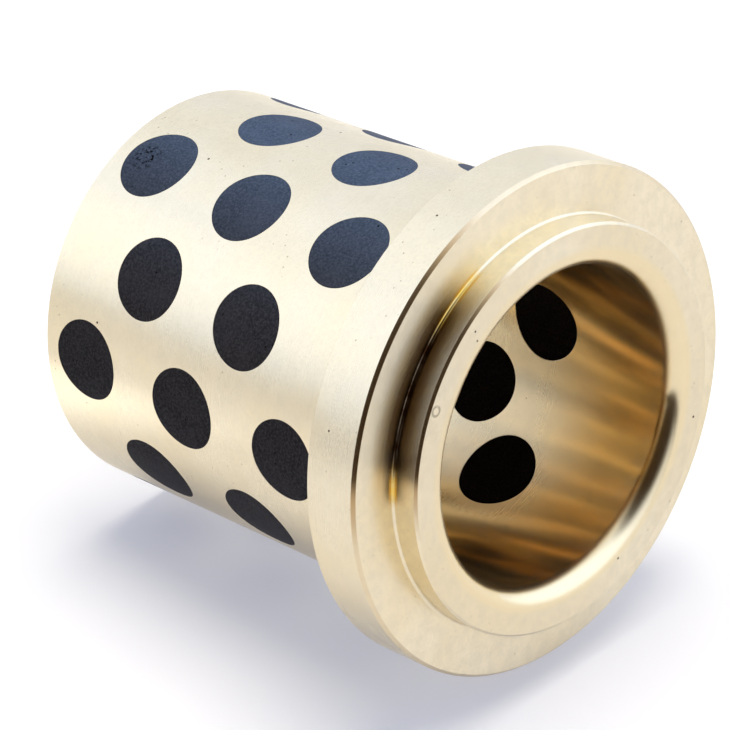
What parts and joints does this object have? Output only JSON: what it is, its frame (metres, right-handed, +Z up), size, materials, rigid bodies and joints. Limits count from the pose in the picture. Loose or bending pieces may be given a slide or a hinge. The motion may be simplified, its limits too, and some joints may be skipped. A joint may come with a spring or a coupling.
{
  "type": "flanged sleeve bushing",
  "caption": "Self-lubricating bronze sleeve bushing with a flange, a short centring collar and graphite plugs set flush through its wall in staggered rows.",
  "frame": {"origin": "on the bore axis, at the flange's rear face, which seats against the housing", "axes": "+X along the bore, out of the centring collar; +Z up, with the bore level"},
  "size_m": [0.08, 0.08, 0.08],
  "materials": {
    "bronze": "fine turned, bright",
    "graphite": "matte, fine grained"
  },
  "bodies": {
    "root": {"bronze_body": "bronze", "graphite_plug_row1_1": "graphite", "graphite_plug_row1_2": "graphite", "graphite_plug_row1_3": "graphite", "graphite_plug_row1_4": "graphite", "graphite_plug_row1_5": "graphite", "graphite_plug_row1_6": "graphite", "graphite_plug_row2_1": "graphite", "graphite_plug_row2_2": "graphite", "graphite_plug_row2_3": "graphite", "graphite_plug_row2_4": "graphite", "graphite_plug_row2_5": "graphite", "graphite_plug_row2_6": "graphite", "graphite_plug_row3_1": "graphite", "graphite_plug_row3_2": "graphite", "graphite_plug_row3_3": "graphite", "graphite_plug_row3_4": "graphite", "graphite_plug_row3_5": "graphite", "graphite_plug_row3_6": "graphite", "graphite_plug_row4_1": "graphite", "graphite_plug_row4_2": "graphite", "graphite_plug_row4_3": "graphite", "graphite_plug_row4_4": "graphite", "graphite_plug_row4_5": "graphite", "graphite_plug_row4_6": "graphite", "graphite_plug_row5_1": "graphite", "graphite_plug_row5_2": "graphite", "graphite_plug_row5_3": "graphite", "graphite_plug_row5_4": "graphite", "graphite_plug_row5_5": "graphite", "graphite_plug_row5_6": "graphite"}
  },
  "joints": []
}
